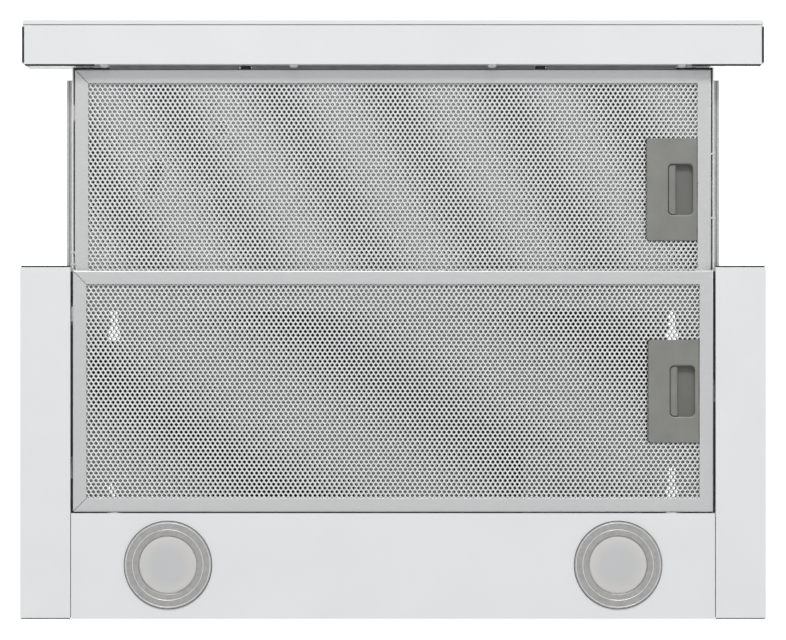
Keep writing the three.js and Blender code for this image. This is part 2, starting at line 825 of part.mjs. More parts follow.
// The collar that the duct slips over: a flange under the top plate, a tube up through it, a ledge that the
// flaps close on and two lugs for their pin.
function outletCollar() {
  const base = HEIGHT - SHEET - GAP - OUTLET.wall;
  const inner = OUTLET.r - OUTLET.wall;
  const pinHeight = HEIGHT + OUTLET.pin;
  const tube = turned(
    [
      [inner, base],
      [OUTLET.flange, base],
      [OUTLET.flange, base + OUTLET.wall],
      [OUTLET.r, base + OUTLET.wall],
      [OUTLET.r, HEIGHT + OUTLET.height],
      [inner, HEIGHT + OUTLET.height],
      [inner, pinHeight - 1],
      [inner - 2.5, pinHeight - 1],
      [inner - 2.5, pinHeight - 2],
      [inner, pinHeight - 2.8],
    ],
    48,
  );
  const lugs = [-1, 1].map((end) => {
    const y = [53, 59].map((distance) => end * distance).sort((a, b) => a - b);
    return block([-4, 4], y, [pinHeight - 3.5, pinHeight + 4]);
  });
  const bore = disc(1.9, [-57.5, 57.5], 12).rotateX(Math.PI / 2).translate(0, 0, pinHeight);
  return cut(join(tube, ...lugs), bore);
}

// One half of the backdraft damper: a half disc and two knuckles on the pin, which is its origin.
function flap(side) {
  const radius = OUTLET.r - 3;
  const plate = cut(
    disc(radius, [-0.6, 0.6], 48),
    sideBlock(-side, [-3.4, radius + 1], [-radius, radius], [-2, 2]),
    ...[-1, 1].map((end) => block([-8, 8], [end * radius - 6, end * radius + 6], [-2, 2])),
  );
  const at = side < 0 ? [-40, 8] : [-20, 28];
  const knuckles = at.map((y) => {
    const barrel = disc(3, [0, 12], 16).rotateX(Math.PI / 2).translate(0, y + 12, 0);
    return join(barrel, sideBlock(side, [1, 5], [y, y + 12], [-0.6, 0.6]));
  });
  const bore = disc(1.8, [-60, 60], 12).rotateX(Math.PI / 2);
  return cut(join(plate, ...knuckles), bore);
}

function outlet() {
  const pin = disc(1.5, [-57, 57], 12).rotateX(Math.PI / 2);
  return group(
    [OUTLET.x, OUTLET.y, 0],
    piece("outlet_collar", outletCollar(), "zinc"),
    piece("flap_pin", pin, "brushed", [0, 0, HEIGHT + OUTLET.pin]),
    piece("flap_left", flap(-1), "zinc", [0, 0, HEIGHT + OUTLET.pin]),
    piece("flap_right", flap(1), "zinc", [0, 0, HEIGHT + OUTLET.pin]),
  );
}

// ---- the hood ----

const hood = group(
  [0, 0, -HEIGHT],
  body(),
  ...SIDES.map(([name, side]) => lamp(name, side)),
  filter("rear", REAR_FILTER),
  slides(),
  drawer(),
  blower(),
  electrics(),
  outlet(),
);

const root = new THREE.Group();
root.name = "range_hood";
root.add(hood);

export default root;
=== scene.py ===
"""Looks of a telescopic under-cabinet range hood with its drawer out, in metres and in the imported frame."""

import json
import math

import bmesh
import bpy
from mathutils import Matrix, Vector


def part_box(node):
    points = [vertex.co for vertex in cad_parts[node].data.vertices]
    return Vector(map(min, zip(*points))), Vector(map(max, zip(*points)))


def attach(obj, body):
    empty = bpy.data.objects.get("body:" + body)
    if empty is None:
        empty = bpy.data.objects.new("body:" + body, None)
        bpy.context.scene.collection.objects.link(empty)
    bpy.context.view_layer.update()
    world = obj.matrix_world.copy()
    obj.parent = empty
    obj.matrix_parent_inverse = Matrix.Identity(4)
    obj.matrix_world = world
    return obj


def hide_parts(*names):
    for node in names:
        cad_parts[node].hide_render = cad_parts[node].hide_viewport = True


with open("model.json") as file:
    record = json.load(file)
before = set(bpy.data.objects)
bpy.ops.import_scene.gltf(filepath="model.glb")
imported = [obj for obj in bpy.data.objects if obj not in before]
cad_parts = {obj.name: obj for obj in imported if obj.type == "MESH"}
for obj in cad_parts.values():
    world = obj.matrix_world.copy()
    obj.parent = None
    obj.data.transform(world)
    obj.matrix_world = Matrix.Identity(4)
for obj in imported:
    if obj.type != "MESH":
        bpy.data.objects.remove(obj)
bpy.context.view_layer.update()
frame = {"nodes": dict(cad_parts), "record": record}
MM = 0.001
NODES = frame["nodes"]
SIDES = (("left", -1), ("right", 1))


# ---- places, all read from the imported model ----


def box(node):
    lo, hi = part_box(node)
    return Vector(lo), Vector(hi)


def middle(node):
    lo, hi = box(node)
    return (lo + hi) / 2


UNDERSIDE = box("left_wing")[0].z


# ---- materials ----


SPREAD = (0.3, 0.7)


class Paint:
    """A node material built step by step. Its patterns are in object space and move with the piece."""

    def __init__(self, name, **sockets):
        self.material = bpy.data.materials.new(name)
        self.material.use_nodes = True
        self.tree = self.material.node_tree
        self.tree.nodes.clear()
        self.output = self.tree.nodes.new("ShaderNodeOutputMaterial")
        self.shader = self.tree.nodes.new("ShaderNodeBsdfPrincipled")
        self.link(self.shader.outputs[0], self.output.inputs["Surface"])
        self.place = self.tree.nodes.new("ShaderNodeTexCoord").outputs["Object"]
        for key, value in sockets.items():
            self.shader.inputs[key.replace("_", " ")].default_value = value
        self.last_bump = None

    def link(self, a, b):
        self.tree.links.new(a, b)

    def stretched(self, scale):
        node = self.tree.nodes.new("ShaderNodeMapping")
        node.inputs["Scale"].default_value = scale
        self.link(self.place, node.inputs["Vector"])
        return node.outputs[0]

    def noise(self, scale, detail=3.0, rough=0.5, stretch=None):
        node = self.tree.nodes.new("ShaderNodeTexNoise")
        node.inputs["Scale"].default_value = scale
        node.inputs["Detail"].default_value = detail
        node.inputs["Roughness"].default_value = rough
        self.link(self.stretched(stretch) if stretch else self.place, node.inputs["Vector"])
        return node.outputs["Fac"]

    def rings(self, scale, centre, distortion):
        """Turning marks about a vertical axis."""
        shift = self.tree.nodes.new("ShaderNodeMapping")
        shift.inputs["Location"].default_value = (-centre[0], -centre[1], 0)
        self.link(self.place, shift.inputs["Vector"])
        node = self.tree.nodes.new("ShaderNodeTexWave")
        node.wave_type = "RINGS"
        node.rings_direction = "Z"
        node.inputs["Scale"].default_value = scale
        node.inputs["Distortion"].default_value = distortion
        self.link(shift.outputs[0], node.inputs["Vector"])
        return node.outputs["Fac"]

    def outwards(self, centre, reach):
        """0 on a vertical axis, rising to 1 at a distance of reach from it."""
        shift = self.tree.nodes.new("ShaderNodeMapping")
        shift.inputs["Scale"].default_value = (1 / reach, 1 / reach, 0)
        shift.inputs["Location"].default_value = (-centre[0] / reach, -centre[1] / reach, 0)
        self.link(self.place, shift.inputs["Vector"])
        length = self.tree.nodes.new("ShaderNodeVectorMath")
        length.operation = "LENGTH"
        self.link(shift.outputs[0], length.inputs[0])
        return length.outputs["Value"]

    def ramp(self, factor, low, high, span=(0.0, 1.0)):
        node = self.tree.nodes.new("ShaderNodeValToRGB")
        ends = node.color_ramp.elements
        ends[0].position, ends[1].position = span
        ends[0].color = (*low, 1)
        ends[1].color = (*high, 1)
        self.link(factor, node.inputs["Fac"])
        return node.outputs["Color"]

    def colour(self, factor, low, high, span=SPREAD):
        self.link(self.ramp(factor, low, high, span), self.shader.inputs["Base Color"])
        return self

    def glow(self, factor, low, high, share):
        """Seen from the camera, a share of the surface shows this colour whatever light falls on it."""
        light = self.tree.nodes.new("ShaderNodeEmission")
        self.link(self.ramp(factor, low, high), light.inputs["Color"])
        path = self.tree.nodes.new("ShaderNodeLightPath")
        part = self.tree.nodes.new("ShaderNodeMath")
        part.operation = "MULTIPLY"
        self.link(path.outputs["Is Camera Ray"], part.inputs[0])
        part.inputs[1].default_value = share
        mix = self.tree.nodes.new("ShaderNodeMixShader")
        self.link(part.outputs[0], mix.inputs["Fac"])
        self.link(self.shader.outputs[0], mix.inputs[1])
        self.link(light.outputs[0], mix.inputs[2])
        self.link(mix.outputs[0], self.output.inputs["Surface"])

    def within(self, lo, hi):
        """1 inside a box and 0 outside it."""
        split = self.tree.nodes.new("ShaderNodeSeparateXYZ")
        self.link(self.place, split.inputs[0])
        result = None
        for axis in range(3):
            for limit, operation in ((lo[axis], "GREATER_THAN"), (hi[axis], "LESS_THAN")):
                test = self.tree.nodes.new("ShaderNodeMath")
                test.operation = operation
                self.link(split.outputs[axis], test.inputs[0])
                test.inputs[1].default_value = limit
                if result is None:
                    result = test.outputs[0]
                    continue
                both = self.tree.nodes.new("ShaderNodeMath")
                both.operation = "MULTIPLY"
                self.link(result, both.inputs[0])
                self.link(test.outputs[0], both.inputs[1])
                result = both.outputs[0]
        return result

    def colour_over(self, factor, low, high, mask, second):
        """A varied colour with a second one where the mask is high."""
        mix = self.tree.nodes.new("ShaderNodeMix")
        mix.data_type = "RGBA"
        self.link(mask, mix.inputs["Factor"])
        self.link(self.ramp(factor, low, high, SPREAD), mix.inputs["A"])
        mix.inputs["B"].default_value = (*second, 1)
        self.link(mix.outputs["Result"], self.shader.inputs["Base Color"])
        return self

    def roughness(self, factor, low, high):
        node = self.tree.nodes.new("ShaderNodeMapRange")
        node.inputs["From Min"].default_value, node.inputs["From Max"].default_value = SPREAD
        node.inputs["To Min"].default_value = low
        node.inputs["To Max"].default_value = high
        self.link(factor, node.inputs["Value"])
        self.link(node.outputs["Result"], self.shader.inputs["Roughness"])
        return self

    def bump(self, height, distance, strength):
        node = self.tree.nodes.new("ShaderNodeBump")
        node.inputs["Distance"].default_value = distance
        node.inputs["Strength"].default_value = strength
        self.link(height, node.inputs["Height"])
        if self.last_bump:
            self.link(self.last_bump, node.inputs["Normal"])
        self.last_bump = node.outputs["Normal"]
        self.link(self.last_bump, self.shader.inputs["Normal"])
        return self


def grey(value, warm=0.0):
    """A linear colour from a display value of 0 to 1, a little warm or cool."""
    linear = ((value + 0.055) / 1.055) ** 2.4 if value > 0.04045 else value / 12.92
    return (linear * (1 + warm), linear, linear * (1 - warm))


def enamel():
    p = Paint("white_enamel", Roughness=0.32, Coat_Weight=0.25, Coat_Roughness=0.18)
    p.colour(p.noise(14, 4), grey(0.925, -0.006), grey(0.94, -0.006))
    p.roughness(p.noise(90, 2), 0.28, 0.38)
    return p.bump(p.noise(420, 2), 0.00006, 0.35).bump(p.noise(9, 1), 0.0012, 0.12).material


def shaded_inside(name, lo, hi, tone):
    """White enamel, painted dark grey inside a box: painted shade for the dim inside of the piece."""
    p = Paint(name, Roughness=0.4)
    p.colour_over(p.noise(14, 4), grey(0.925, -0.006), grey(0.94, -0.006), p.within(lo, hi), grey(tone))
    p.roughness(p.noise(90, 2), 0.32, 0.42)
    return p.bump(p.noise(420, 2), 0.00006, 0.35).material


SHELL_FLANGE = 7 * MM


# The body shell is painted dark grey inside: painted shade where little light gets in.
def shaded_inside_shell():
    lo, hi = box("body_shell")
    skin = 0.5 * MM
    inset = Vector((SHELL_FLANGE + skin, skin, skin))
    return shaded_inside("shaded_inside_shell", lo + inset - Vector((0, 0, MM)), hi - inset, 0.26)


# The drawer's top plate is painted grey on its underside: painted shade behind the front filter's mesh.
def shaded_inside_plate():
    lo, hi = box("drawer_top_plate")
    skin = 0.5 * MM
    return shaded_inside("shaded_inside_plate", lo - Vector((skin, skin, skin)), hi + Vector((skin, skin, -skin)), 0.5)


def zinc():
    p = Paint("zinc_plated_steel", Metallic=0.9)
    spangle = p.noise(130, 2, 0.4)
    p.colour(spangle, grey(0.71, 0.005), grey(0.77, -0.005), (0.35, 0.62))
    p.roughness(p.noise(60, 3), 0.38, 0.45)
    return p.bump(p.noise(900, 2), 0.00003, 0.4).material


def drawn_rail_shaded():
    """Zinc plating over steel that was drawn along Y, painted darker than the zinc as painted shade between
    the rails' beads.
    """
    p = Paint("drawn_rail_shaded", Metallic=0.7)
    lines = p.noise(900, 3, 0.5, (1, 0.02, 1))
    p.colour(lines, grey(0.60, 0.015), grey(0.68, 0.015))
    p.roughness(p.noise(60, 3), 0.4, 0.52)
    return p.bump(lines, 0.00002, 0.4).material


def brushed_frame():
    p = Paint("filter_aluminium", Metallic=0.5)
    grain = p.noise(700, 4, 0.6, (0.2, 1, 1))
    p.colour(grain, grey(0.855), grey(0.868))
    p.roughness(grain, 0.4, 0.46)
    return p.bump(grain, 0.00001, 0.3).material


def strand_metal(name, tone, spread, metallic):
    p = Paint(name, Metallic=metallic)
    p.colour(p.noise(260, 3), grey(tone - spread), grey(tone + spread))
    p.roughness(p.noise(700, 2), 0.3, 0.5)
    return p.bump(p.noise(2500, 2), 0.00003, 0.5).material


def moulded(name, tone, tint, rough, grain=0.00004, spread=0.02):
    p = Paint(name)
    low, high = (tuple(t * c for t, c in zip(tint, grey(tone + step))) for step in (-spread, spread))
    p.colour(p.noise(40, 3), low, high)
    p.roughness(p.noise(200, 2), rough - 0.06, rough + 0.06)
    return p.bump(p.noise(1800, 2), grain, 0.6).material


def brushed_ring(name, centre):
    p = Paint(name, Metallic=0.85)
    marks = p.rings(900, centre, 0.6)
    p.colour(p.noise(300, 3), grey(0.735, 0.02), grey(0.795, 0.015))
    p.roughness(p.noise(160, 3), 0.32, 0.5)
    return p.bump(marks, 0.00002, 0.6).material


def turned_steel():
    p = Paint("turned_steel", Metallic=1.0)
    p.colour(p.noise(120, 3), grey(0.72), grey(0.82))
    p.roughness(p.noise(400, 3), 0.22, 0.36)
    return p.bump(p.noise(1500, 3), 0.00002, 0.4).material


def frosted_lens(name, centre):
    p = Paint(name, Subsurface_Weight=0.35, Subsurface_Scale=0.004, Coat_Weight=0.15)
    p.shader.inputs["Subsurface Radius"].default_value = (1.0, 0.95, 0.85)
    p.colour(p.outwards(centre, 23.2 * MM), grey(0.81), grey(0.845, 0.03), (0.55, 0.95))
    p.roughness(p.noise(500, 2), 0.42, 0.55)
    return p.bump(p.noise(2200, 2), 0.00003, 0.5).material


def circuit():
    p = Paint("circuit_board")
    tracks = p.noise(420, 1, 0.3, (1, 1, 0.2))
    p.colour(tracks, (0.02, 0.16, 0.07), (0.05, 0.28, 0.12), (0.48, 0.52))
    p.roughness(p.noise(90, 2), 0.35, 0.5)
    return p.bump(tracks, 0.00005, 0.6).material


def rubber():
    p = Paint("rubber")
    p.colour(p.noise(90, 3), grey(0.13, -0.02), grey(0.19, -0.02))
    p.roughness(p.noise(400, 2), 0.75, 0.92)
    return p.bump(p.noise(1500, 3), 0.00006, 0.7).material


# A mid-grey strip material: painted shade where the front bar's rear wall lies in shade.
def shade_strip():
    p = Paint("shade_strip")
    p.colour(p.noise(120, 3), grey(0.47, -0.02), grey(0.52, -0.02))
    p.roughness(p.noise(500, 2), 0.85, 0.95)
    return p.bump(p.noise(1100, 3), 0.0001, 0.8).material


def sleeve():
    p = Paint("capacitor_can", Metallic=0.6)
    p.colour(p.noise(70, 3), grey(0.68), grey(0.78))
    p.roughness(p.noise(300, 2), 0.3, 0.42)
    return p.bump(p.noise(900, 2), 0.00003, 0.5).material


NEUTRAL = (1, 1, 1)
OLIVE = (0.99, 1, 0.916)
FINISH = {
    "white_enamel": enamel(),
    "zinc_plated_steel": zinc(),
    "filter_aluminium": brushed_frame(),
    "expanded_mesh": strand_metal("expanded_mesh", 0.965, 0.02, 0.55),
    # The inner sheets are the outer sheet's aluminium painted darker, a painted shade; the rear one darker
    # still.
    "front_inner_mesh": strand_metal("front_inner_mesh", 0.78, 0.05, 0.55),
    "rear_inner_mesh": strand_metal("rear_inner_mesh", 0.64, 0.06, 0.6),
    "latch_grey": moulded("latch_grey", 0.535, OLIVE, 0.5),
    # The recess floor is the same grey moulding painted darker: painted shade in the recess.
    "recess_floor_shade": moulded("recess_floor_shade", 0.46, OLIVE, 0.6, 0.00008, 0.012),
    # The bezel's fine raised lines are painted near white: a painted highlight.
    "bezel_highlight": strand_metal("bezel_highlight", 0.975, 0.015, 0.2),
    # The slides' beads and clips are painted lighter than the rails: a painted highlight.
    "rail_highlight": strand_metal("rail_highlight", 0.84, 0.03, 0.35),
    "lamp_board": moulded("lamp_board", 0.86, NEUTRAL, 0.5),
    "turned_steel": turned_steel(),
    "black_plastic": moulded("black_plastic", 0.12, NEUTRAL, 0.5),
    "white_plastic": moulded("white_plastic", 0.88, NEUTRAL, 0.42),
    "capacitor_can": sleeve(),
    "circuit_board": circuit(),
    "key_grey": moulded("key_grey", 0.6, NEUTRAL, 0.45),
    "rubber": rubber(),
    "shade_strip": shade_strip(),
    "drawn_rail_shaded": drawn_rail_shaded(),
    "bright_head": strand_metal("bright_head", 0.78, 0.02, 0.4),
    "shaded_inside_shell": shaded_inside_shell(),
    "shaded_inside_plate": shaded_inside_plate(),
}


def paint(obj, finish):
    obj.data.materials.clear()
    obj.data.materials.append(FINISH[finish])
    return obj


# ---- mesh building ----


def soft_edges(obj):
    """Smooth faces that keep their edges where they turn sharply."""
    obj.data.shade_smooth()
    obj.data.set_sharp_from_angle(angle=math.radians(35))


def made(name, bm, finish, body, replaces=()):
    """A finished piece, which rides on a body and may stand in for CAD nodes."""
    mesh = bpy.data.meshes.new(name)
    bmesh.ops.recalc_face_normals(bm, faces=bm.faces)
    bm.to_mesh(mesh)
    bm.free()
    obj = bpy.data.objects.new(name, mesh)
    bpy.context.scene.collection.objects.link(obj)
    soft_edges(paint(obj, finish))
    even = obj.modifiers.new("even", "WEIGHTED_NORMAL")
    even.keep_sharp = True
    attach(obj, body)
    if replaces:
        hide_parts(*replaces)
    return obj


def rounded(x, y, radius):
    """A rounded rectangle between two x and two y values, counter-clockwise, with one radius or four."""
    radii = radius if hasattr(radius, "__len__") else [radius] * 4
    corners = ((x[1], y[1], 0), (x[0], y[1], 90), (x[0], y[0], 180), (x[1], y[0], 270))
    points = []
    steps = 6
    for (cx, cy, start), r in zip(corners, radii):
        inward_x = -1 if cx == x[1] else 1
        inward_y = -1 if cy == y[1] else 1
        for i in range(steps + 1):
            a = math.radians(start + 90 * i / steps)
            points.append((cx + inward_x * r + r * math.cos(a), cy + inward_y * r + r * math.sin(a)))
    return points


def circle(radius, sides):
    turns = [2 * math.pi * i / sides for i in range(sides)]
    return [(radius * math.cos(a), radius * math.sin(a)) for a in turns]


def loft(bm, loops):
    """Loops of as many 3-D points each, joined in turn, with the first and the last capped."""
    rows = [[bm.verts.new(p) for p in loop] for loop in loops]
    for a, b in zip(rows, rows[1:]):
        n = len(a)
        for i in range(n):
            bm.faces.new((a[i], a[(i + 1) % n], b[(i + 1) % n], b[i]))
    bm.faces.new(rows[0])
    bm.faces.new(rows[-1])


def at_height(points, z):
    return [(x, y, z) for x, y in points]


UPRIGHT = Matrix.Identity(3)
FORWARDS = Matrix.Rotation(math.radians(-90), 3, "X")
ON_AXIS = 1e-7


def lathe(bm, profile, centre, sides, turn=UPRIGHT):
    """A closed profile of (radius, height) points, turned about an axis through the centre."""
    centre = Vector(centre)
    rows = []
    for r, h in profile:
        if r < ON_AXIS:
            rows.append([bm.verts.new(turn @ Vector((0, 0, h)) + centre)])
        else:
            rows.append([bm.verts.new(turn @ Vector((x, y, h)) + centre) for x, y in circle(r, sides)])
    for a, b in zip(rows, rows[1:] + rows[:1]):
        if len(a) == 1 and len(b) == 1:
            continue
        for i in range(sides):
            j = (i + 1) % sides
            ring = [a[0]] if len(a) == 1 else [a[i], a[j]]
            ring += [b[0]] if len(b) == 1 else [b[j], b[i]]
            bm.faces.new(ring)


def block(bm, lo, hi, bevel=0.0):
    """A box with rounded edges, for use inside a larger piece."""
    made_here = bmesh.ops.create_cube(bm, size=1)["verts"]
    size = Vector(hi) - Vector(lo)
    centre = (Vector(hi) + Vector(lo)) / 2
    for v in made_here:
        v.co = Vector((v.co.x * size.x, v.co.y * size.y, v.co.z * size.z)) + centre
    if bevel:
        edges = list({e for v in made_here for e in v.link_edges})
        bmesh.ops.bevel(bm, geom=edges, offset=bevel, segments=2, profile=0.6, affect="EDGES")


def cut_out(obj, *tools):
    """Takes boxes, given as (lo, hi), out of a piece for good."""
    bm = bmesh.new()
    for lo, hi in tools:
        block(bm, lo, hi)
    mesh = bpy.data.meshes.new("tool")
    bm.to_mesh(mesh)
    bm.free()
    tool = bpy.data.objects.new("tool", mesh)
    bpy.context.scene.collection.objects.link(tool)
    change = obj.modifiers.new("cut", "BOOLEAN")
    change.operation = "DIFFERENCE"
    change.solver = "EXACT"
    change.object = tool
    bpy.context.view_layer.update()
    graph = bpy.context.evaluated_depsgraph_get()
    result = bpy.data.meshes.new_from_object(obj.evaluated_get(graph))
    obj.modifiers.remove(change)
    obj.data = result
    bpy.data.objects.remove(tool)
    soft_edges(obj)


SAME_POINT = 2e-6
FLAT = math.radians(0.6)
CORNER = math.radians(40)


def bevelled(node, finish):
    """A CAD node kept as it is, with its edges eased and a finish of its own."""
    obj = NODES[node]
    weld = obj.modifiers.new("weld", "WELD")
    weld.merge_threshold = SAME_POINT
    flatten = obj.modifiers.new("flatten", "DECIMATE")
    flatten.decimate_type = "DISSOLVE"
    flatten.angle_limit = FLAT
    ease = obj.modifiers.new("ease", "BEVEL")
    ease.width = 0.35 * MM
    ease.segments = 2
    ease.limit_method = "ANGLE"
    ease.angle_limit = CORNER
    ease.use_clamp_overlap = True
    ease.harden_normals = True
    even = obj.modifiers.new("even", "WEIGHTED_NORMAL")
    even.keep_sharp = False
    even.weight = 100
    paint(obj, finish)


BEND = 1.4 * MM
SHORTEST_BEND = 20 * MM
BURR = 0.3 * MM


def eased(node, finish, body, low):
    """A folded sheet with round bends along the edges of its underside, which is at height low."""
    bm = bmesh.new()
    bm.from_mesh(NODES[node].data)
    bmesh.ops.remove_doubles(bm, verts=bm.verts, dist=SAME_POINT)
    bmesh.ops.dissolve_limit(bm, angle_limit=FLAT, verts=bm.verts, edges=bm.edges)

    def sharp(edge):
        return len(edge.link_faces) == 2 and edge.calc_face_angle(0) > CORNER

    def at_bend(edge):
        is_low = all(abs(v.co.z - low) < 0.02 * MM for v in edge.verts)
        return is_low and sharp(edge) and edge.calc_length() > SHORTEST_BEND

    rest = [e for e in bm.edges if sharp(e) and not at_bend(e)]
    together = {"affect": "EDGES", "clamp_overlap": True}
    bmesh.ops.bevel(bm, geom=rest, offset=BURR, segments=1, **together)
    bends = [e for e in bm.edges if at_bend(e)]
    bmesh.ops.bevel(bm, geom=bends, offset=BEND, segments=4, profile=0.5, **together)
    made(f"{node}_folded", bm, finish, body, [node])


def folded_sheets():
    for name in ("left_wing", "right_wing", "light_panel"):
        eased(name, "white_enamel", "housing", UNDERSIDE)
    eased("front_bar", "white_enamel", "drawer", box("front_bar")[0].z)


SLIDES = [f"slide_{part}_{name}" for part in ("inner", "outer") for name, _ in SIDES]
# These nodes get white enamel with painted shade inside.
SHADED_INSIDE = {"body_shell": "shaded_inside_shell", "drawer_top_plate": "shaded_inside_plate"}
PAINT = {**SHADED_INSIDE, **dict.fromkeys(SLIDES, "drawn_rail_shaded")}


def dress_cad_nodes():
    for entry in frame["record"]["subparts"]:
        if not NODES[entry["node"]].hide_render:
            bevelled(entry["node"], PAINT.get(entry["node"], entry["material_slot"]))


# ---- camera, light and stage ----

LENS = 119.6
CAMERA = Vector((0, -0.099, UNDERSIDE - 2.1))


def studio():
    camera = bpy.data.objects.new("camera", bpy.data.cameras.new("camera"))
    camera.data.lens = LENS
    camera.data.sensor_width = 36
    camera.data.clip_start, camera.data.clip_end = 0.01, 60
    camera.location = CAMERA
    camera.rotation_euler = (math.pi, 0, 0)
    bpy.context.scene.collection.objects.link(camera)
    bpy.context.scene.camera = camera
    bpy.context.scene.view_settings.view_transform = "Standard"


def area_light(name, place, aim, size, watts):
    data = bpy.data.lights.new(name, "AREA")
    data.shape = "RECTANGLE"
    data.size, data.size_y = size
    data.energy = watts
    obj = bpy.data.objects.new(name, data)
    obj.location = place
    obj.rotation_euler = (Vector(aim) - Vector(place)).to_track_quat("-Z", "Y").to_euler()
    obj.visible_camera = False
    bpy.context.scene.collection.objects.link(obj)


def sky():
    """White behind the object, while the light that falls on it from all round is weak and a little blue."""
    world = bpy.data.worlds.new("studio")
    bpy.context.scene.world = world
    world.use_nodes = True
    tree = world.node_tree
    tree.nodes.clear()
    seen = tree.nodes.new("ShaderNodeBackground")
    seen.inputs["Color"].default_value = (1, 1, 1, 1)
    seen.inputs["Strength"].default_value = 1.6
    lights = tree.nodes.new("ShaderNodeBackground")
    lights.inputs["Color"].default_value = (0.97, 0.985, 1, 1)
    lights.inputs["Strength"].default_value = 0.45
    path = tree.nodes.new("ShaderNodeLightPath")
    mix = tree.nodes.new("ShaderNodeMixShader")
    out = tree.nodes.new("ShaderNodeOutputWorld")
    tree.links.new(path.outputs["Is Camera Ray"], mix.inputs["Fac"])
    tree.links.new(lights.outputs[0], mix.inputs[1])
    tree.links.new(seen.outputs[0], mix.inputs[2])
    tree.links.new(mix.outputs[0], out.inputs["Surface"])


def floor():
    bm = bmesh.new()
    bmesh.ops.create_grid(bm, x_segments=8, y_segments=8, size=30)
    mesh = bpy.data.meshes.new("floor")
    bm.to_mesh(mesh)
    bm.free()
    obj = bpy.data.objects.new("floor", mesh)
    obj.location = (0, 0, -4)
    p = Paint("floor", Roughness=0.9)
    p.colour(p.noise(0.6, 2), grey(0.93), grey(0.95))
    p.glow(p.noise(0.6, 2), grey(0.86), grey(0.88), 0.8)
    obj.data.materials.append(p.material)
    bpy.context.scene.collection.objects.link(obj)


studio()
sky()
floor()
HOOD = Vector((0, -0.1, UNDERSIDE))
KEY_AWAY = 5.0
KEY_RISE = math.radians(38)
KEY_FROM = Vector((0, -math.cos(KEY_RISE), -math.sin(KEY_RISE)))
area_light("key", HOOD + KEY_AWAY * KEY_FROM, HOOD, (2.0, 1.1), 136)
area_light("top", (0.4, -0.5, 3.2), (0, -0.1, 0), (2.5, 2.5), 45)
for side in (-1, 1):
    area_light(f"side_{side}", (side * 3.2, 0.1, UNDERSIDE - 0.7), HOOD, (0.8, 2.4), 14)
area_light("rear", (0, 3.2, UNDERSIDE - 0.7), HOOD, (2.4, 0.8), 14)


# ---- expanded metal ----
# The cells' pitch, the thickness, twist, lean and width of the strands, how many times wider they are at
# a cell's sides, and how far its tip is from its centre.

PITCH = Vector((3.92, 3.0)) * MM
CREST = 0.3 * MM
TWIST = 0.1 * MM
TILT = Vector((-0.6, 0.8)) * 0.27 * MM
STRAND = 0.56 * MM
STRAND_AT_SIDE = 1.06
TIP = 2.3 * MM


def tile(strand):
    """The six corners of one cell and of the hole in it, about the cell's centre."""
    half = PITCH.x / 2
    knuckle = PITCH.y - TIP
    outer = [(0, TIP), (-half, knuckle), (-half, -knuckle), (0, -TIP), (half, -knuckle), (half, knuckle)]
    run = Vector((half, TIP - knuckle))
    across = run.x / run.length
    down = run.y / run.length
    reach = across * TIP - strand
    side = half - strand * STRAND_AT_SIDE
    tip = reach / across
    low = (reach - down * side) / across
    inner = [(0, tip), (-side, low), (-side, -low), (0, -tip), (side, -low), (side, low)]
    return outer, inner


MARGIN = 0.3 * MM
HOLE_TWIST = 0.6 * TWIST
# A cell's six corners, in steps of half a cell across and a third of a row up, and which of them are raised.
CORNER_STEPS = ((0, 2), (-1, 1), (-1, -1), (0, -2), (1, -1), (1, 1))
LIFT = (1, -1, 1, -1, 1, -1)


